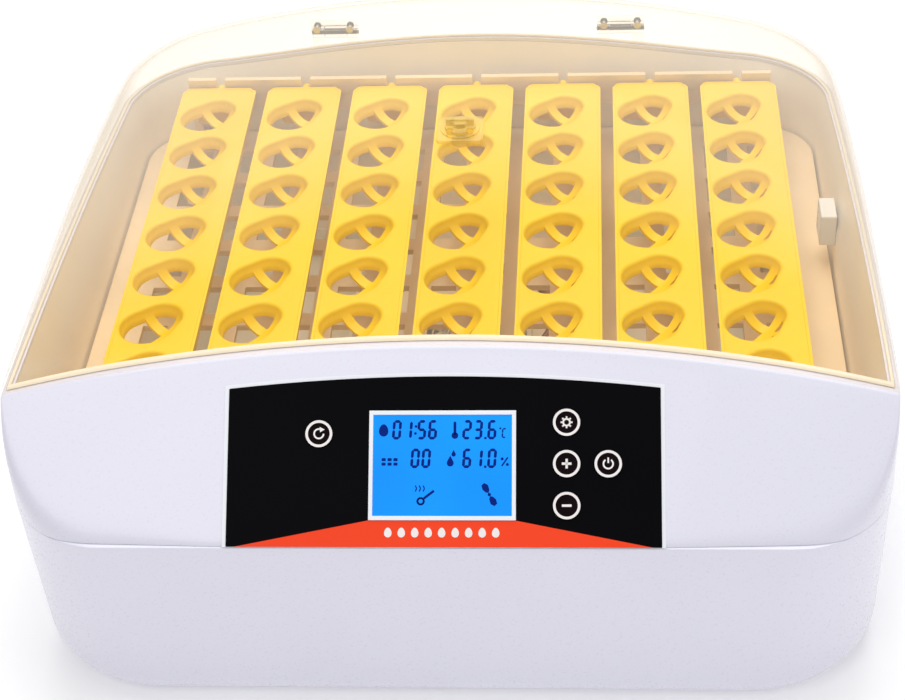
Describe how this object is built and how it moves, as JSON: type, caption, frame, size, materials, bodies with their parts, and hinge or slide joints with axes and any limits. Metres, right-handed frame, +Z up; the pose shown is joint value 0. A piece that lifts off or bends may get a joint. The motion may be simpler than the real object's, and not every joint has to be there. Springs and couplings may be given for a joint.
{
  "type": "egg incubator",
  "caption": "Tabletop egg incubator: white tub, clear hinged lid, rocking egg trays on a rack drive, fan and ring heater under a grid, sloping control panel.",
  "frame": {"origin": "middle of the footprint, on the surface the feet stand on", "axes": "+Z up, +X to the right seen from the front, front at -Y"},
  "size_m": [0.492, 0.4826, 0.2188],
  "materials": {
    "housing": "satin white ABS",
    "liner": "moulded",
    "lid": "clear polycarbonate, polished",
    "gasket": "silicone",
    "tray": "yellow polypropylene",
    "grid": "moulded",
    "drive": "acetal",
    "black_plastic": "moulded",
    "panel": "printed film",
    "accent": "printed film",
    "bezel": "moulded",
    "lcd": "lit display",
    "key": "moulded",
    "rubber": "moulded",
    "steel": "plated",
    "board": "circuit board",
    "heater": "sheathed element"
  },
  "bodies": {
    "base": {"lower_housing": "housing", "upper_housing": "housing", "inner_liner": "liner", "rubber_feet": "rubber", "bottom_screws": "steel", "floor_grid": "grid", "water_trough_left": "liner", "water_trough_right": "liner", "front_rail": "housing", "rear_rail": "housing", "rail_screws": "steel", "turning_motor": "steel", "motor_screws": "steel", "fan_frame": "drive", "fan_guard": "steel", "fan_screws": "steel", "heater_ring": "heater", "heater_brackets": "liner", "sensor_pod": "drive", "panel_overlay": "panel", "accent_band": "accent", "display_bezel": "bezel", "display_lcd": "lcd", "display_module": "black_plastic", "control_board": "board", "board_screws": "steel", "power_board": "board", "power_inlet": "black_plastic", "hinge_lugs_base": "lid", "hinge_pins": "steel", "hinge_screws": "steel"},
    "lid": {"lid_shell": "lid", "lid_gasket": "gasket", "vent_frame": "liner", "hinge_lugs_lid": "lid", "lid_rivets": "steel"},
    "vent": {"vent_knob": "liner"},
    "tray_1": {"egg_tray_1": "tray"},
    "tray_2": {"egg_tray_2": "tray"},
    "tray_3": {"egg_tray_3": "tray"},
    "tray_4": {"egg_tray_4": "tray"},
    "tray_5": {"egg_tray_5": "tray"},
    "tray_6": {"egg_tray_6": "tray"},
    "tray_7": {"egg_tray_7": "tray"},
    "bar": {"drive_bar": "drive"},
    "pinion": {"drive_pinion": "drive"},
    "fan": {"fan_impeller": "drive"},
    "key_reset": {"button_reset": "key"},
    "key_set": {"button_set": "key"},
    "key_plus": {"button_plus": "key"},
    "key_minus": {"button_minus": "key"},
    "key_power": {"button_power": "key"}
  },
  "joints": [
    {"name": "lid_hinge", "type": "hinge", "parent": "base", "child": "lid", "pos_m": [0, 0.2365, 0.166], "axis": [-1, 0, 0], "range_deg": [0, 95]},
    {"name": "vent_turn", "type": "hinge", "parent": "lid", "child": "vent", "pos_m": [0, 0.034, 0.209], "axis": [0, 0, 1], "range_deg": [0, 45]},
    {"name": "tray_1_turn", "type": "hinge", "parent": "base", "child": "tray_1", "pos_m": [-0.18, 0, 0.137], "axis": [0, -1, 0], "range_deg": [-45, 45]},
    {"name": "tray_2_turn", "type": "hinge", "parent": "base", "child": "tray_2", "pos_m": [-0.12, 0, 0.137], "axis": [0, -1, 0], "range_deg": [-45, 45]},
    {"name": "tray_3_turn", "type": "hinge", "parent": "base", "child": "tray_3", "pos_m": [-0.06, 0, 0.137], "axis": [0, -1, 0], "range_deg": [-45, 45]},
    {"name": "tray_4_turn", "type": "hinge", "parent": "base", "child": "tray_4", "pos_m": [0, 0, 0.137], "axis": [0, -1, 0], "range_deg": [-45, 45]},
    {"name": "tray_5_turn", "type": "hinge", "parent": "base", "child": "tray_5", "pos_m": [0.06, 0, 0.137], "axis": [0, -1, 0], "range_deg": [-45, 45]},
    {"name": "tray_6_turn", "type": "hinge", "parent": "base", "child": "tray_6", "pos_m": [0.12, 0, 0.137], "axis": [0, -1, 0], "range_deg": [-45, 45]},
    {"name": "tray_7_turn", "type": "hinge", "parent": "base", "child": "tray_7", "pos_m": [0.18, 0, 0.137], "axis": [0, -1, 0], "range_deg": [-45, 45]},
    {"name": "bar_slide", "type": "slide", "parent": "base", "child": "bar", "axis": [1, 0, 0], "range_m": [-0.0128, 0.0128]},
    {"name": "pinion_turn", "type": "hinge", "parent": "base", "child": "pinion", "pos_m": [0, -0.15, 0.09732], "axis": [0, 1, 0], "range_deg": [-73, 73]},
    {"name": "fan_spin", "type": "hinge", "parent": "base", "child": "fan", "pos_m": [0, 0.02, 0.052], "axis": [0, 0, 1], "continuous": true},
    {"name": "reset_press", "type": "slide", "parent": "base", "child": "key_reset", "axis": [0, 0.6743, -0.7385], "range_m": [0, 0.0008], "stiffness_N_per_m": 350},
    {"name": "set_press", "type": "slide", "parent": "base", "child": "key_set", "axis": [0, 0.6743, -0.7385], "range_m": [0, 0.0008], "stiffness_N_per_m": 350},
    {"name": "plus_press", "type": "slide", "parent": "base", "child": "key_plus", "axis": [0, 0.6743, -0.7385], "range_m": [0, 0.0008], "stiffness_N_per_m": 350},
    {"name": "minus_press", "type": "slide", "parent": "base", "child": "key_minus", "axis": [0, 0.6743, -0.7385], "range_m": [0, 0.0008], "stiffness_N_per_m": 350},
    {"name": "power_press", "type": "slide", "parent": "base", "child": "key_power", "axis": [0, 0.6743, -0.7385], "range_m": [0, 0.0008], "stiffness_N_per_m": 350}
  ],
  "couplings": [
    {"joint": "tray_1_turn", "follows": "tray_4_turn", "ratio": 1},
    {"joint": "tray_2_turn", "follows": "tray_4_turn", "ratio": 1},
    {"joint": "tray_3_turn", "follows": "tray_4_turn", "ratio": 1},
    {"joint": "tray_5_turn", "follows": "tray_4_turn", "ratio": 1},
    {"joint": "tray_6_turn", "follows": "tray_4_turn", "ratio": 1},
    {"joint": "tray_7_turn", "follows": "tray_4_turn", "ratio": 1},
    {"joint": "bar_slide", "follows": "tray_4_turn", "m_per_rad": 0.016206},
    {"joint": "pinion_turn", "follows": "tray_4_turn", "ratio": 1.6206}
  ]
}
